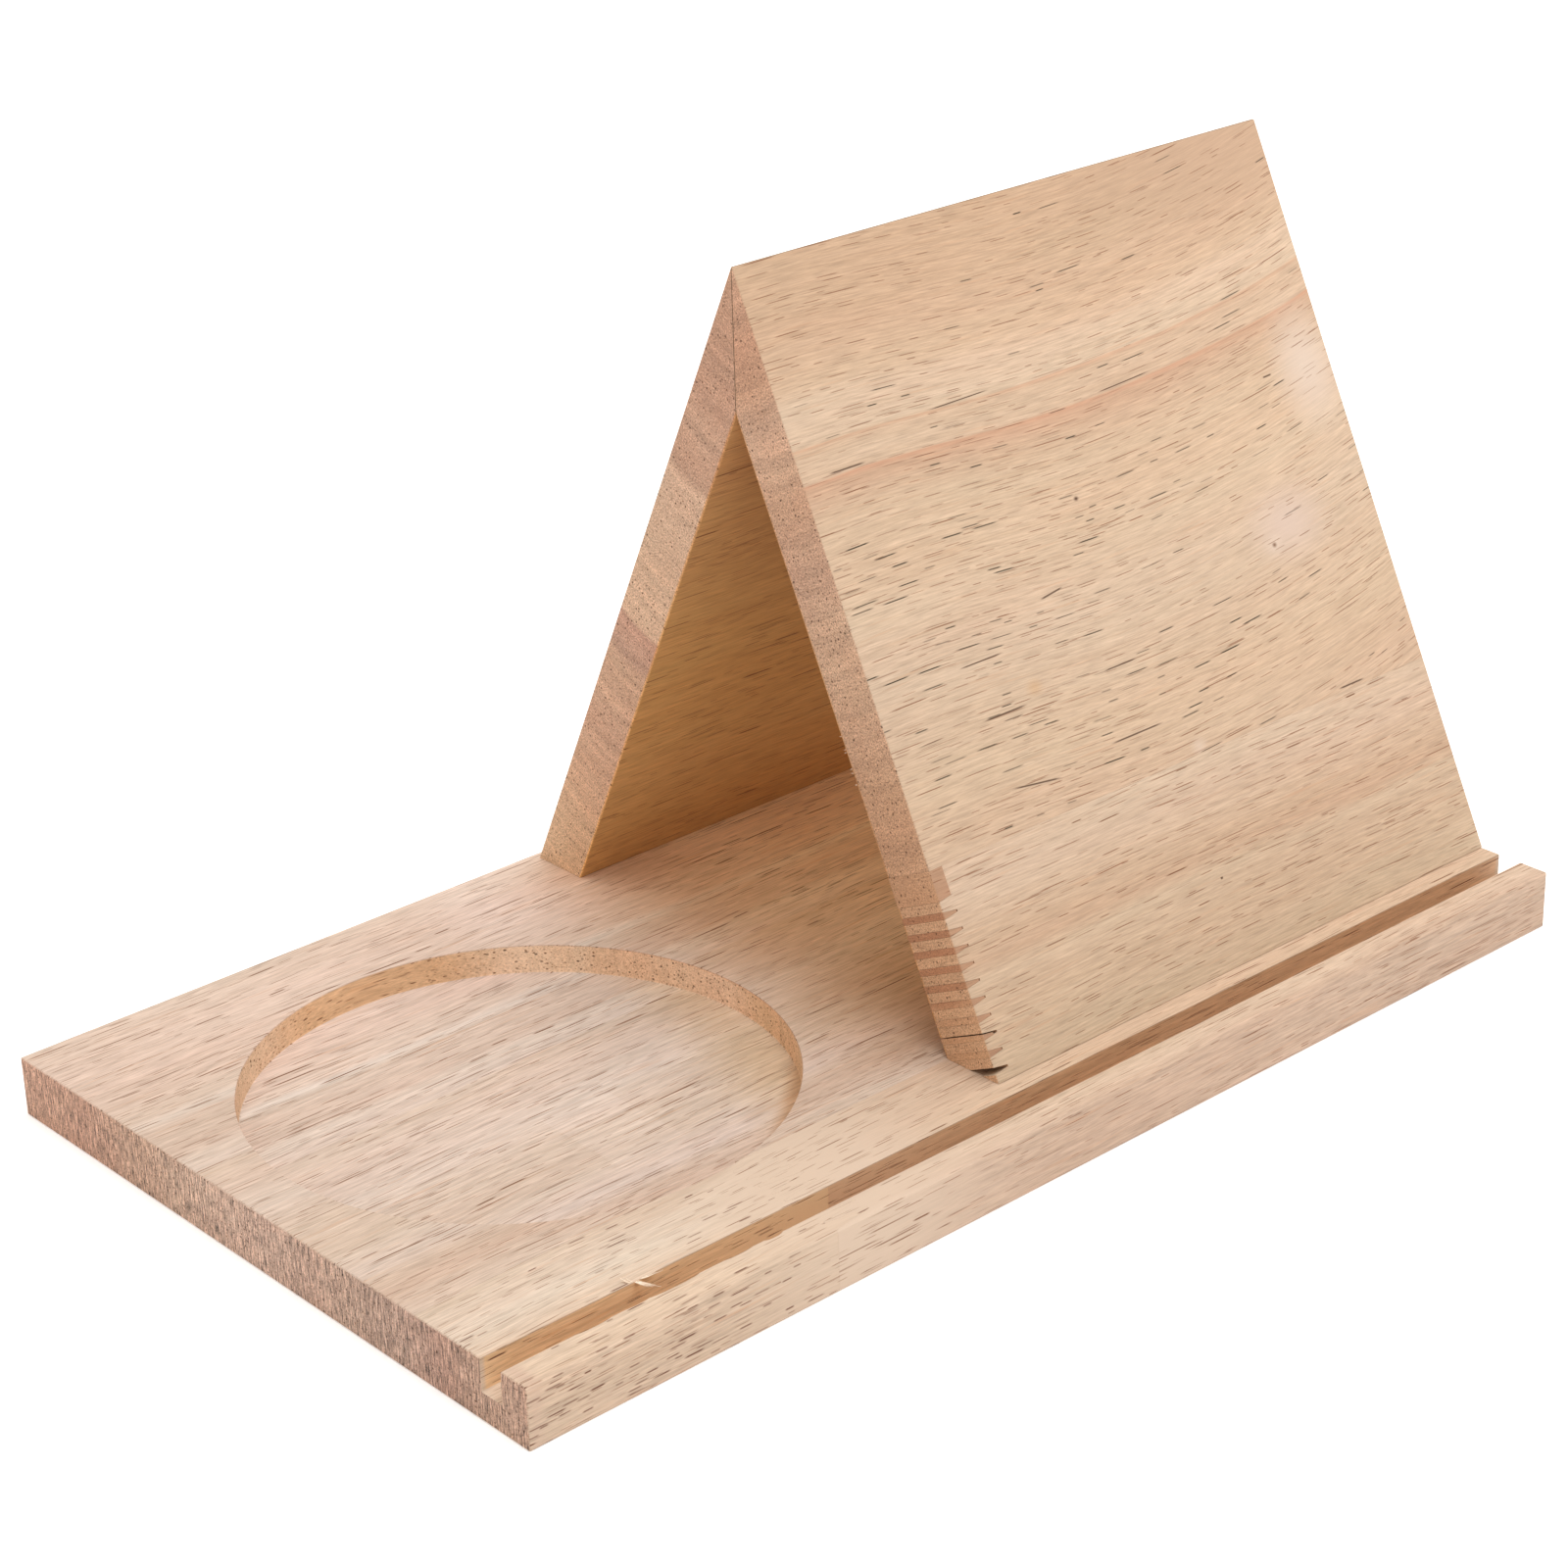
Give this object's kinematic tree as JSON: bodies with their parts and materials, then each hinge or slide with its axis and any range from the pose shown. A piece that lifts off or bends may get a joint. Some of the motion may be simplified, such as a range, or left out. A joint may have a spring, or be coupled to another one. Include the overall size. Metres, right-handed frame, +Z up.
{
  "type": "tablet stand",
  "caption": "Wooden tablet stand: a low base with a tablet slot and a round cup recess, and an A-shaped rest of two leaning panels at one end.",
  "frame": {"origin": "centre of the underside", "axes": "+X along the base towards the end that holds the rest, +Y from the tablet slot to the back edge, +Z up"},
  "size_m": [0.3, 0.174, 0.1739],
  "materials": {
    "rubberwood": "planed and sanded rubberwood under a thin matt oil, cream to pink-tan, with fine dark pores along the grain",
    "rubberwood_finger": "the same wood cut across a finger joint, darker and red-brown",
    "screw_steel": "yellow zinc plate"
  },
  "bodies": {
    "root": {"base_front_stave_short": "rubberwood", "base_front_stave_long": "rubberwood", "base_second_stave": "rubberwood", "base_third_stave": "rubberwood", "base_back_stave": "rubberwood", "front_panel_ridge_stave": "rubberwood", "front_panel_upper_stave": "rubberwood", "front_panel_lower_stave": "rubberwood", "front_panel_foot_stave": "rubberwood", "finger_sliver_01": "rubberwood_finger", "finger_sliver_02": "rubberwood_finger", "finger_sliver_03": "rubberwood_finger", "finger_sliver_04": "rubberwood_finger", "finger_sliver_05": "rubberwood_finger", "finger_sliver_06": "rubberwood_finger", "finger_sliver_07": "rubberwood_finger", "finger_sliver_08": "rubberwood_finger", "finger_sliver_09": "rubberwood_finger", "finger_sliver_10": "rubberwood_finger", "back_panel_ridge_stave": "rubberwood", "back_panel_upper_stave": "rubberwood", "back_panel_lower_stave": "rubberwood", "back_panel_foot_stave": "rubberwood", "front_left_screw": "screw_steel", "front_right_screw": "screw_steel", "back_left_screw": "screw_steel", "back_right_screw": "screw_steel"}
  },
  "joints": []
}
